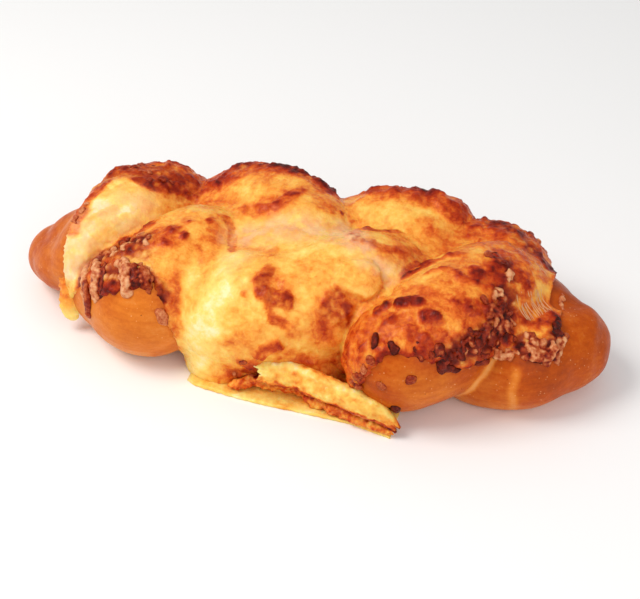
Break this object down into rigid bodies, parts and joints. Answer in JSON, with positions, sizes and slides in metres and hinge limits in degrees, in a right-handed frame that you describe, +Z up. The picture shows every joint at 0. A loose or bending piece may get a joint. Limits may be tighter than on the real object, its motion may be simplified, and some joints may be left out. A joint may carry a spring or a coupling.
{
  "type": "braided cheese loaf",
  "caption": "Plaited bread loaf, baked in one piece under melted, browned cheese, with a flat base to rest on.",
  "frame": {"origin": "middle of the loaf's box, on the surface that it rests on", "axes": "+X along the loaf, +Z up, and the front, where the cheese ran onto the tray, at -Y"},
  "size_m": [0.2644, 0.1206, 0.0596],
  "materials": {
    "bread_crust": "satin",
    "melted_cheese": "satin",
    "toasted_cheese": "satin"
  },
  "bodies": {
    "root": {"braided_loaf": "bread_crust"}
  },
  "joints": []
}
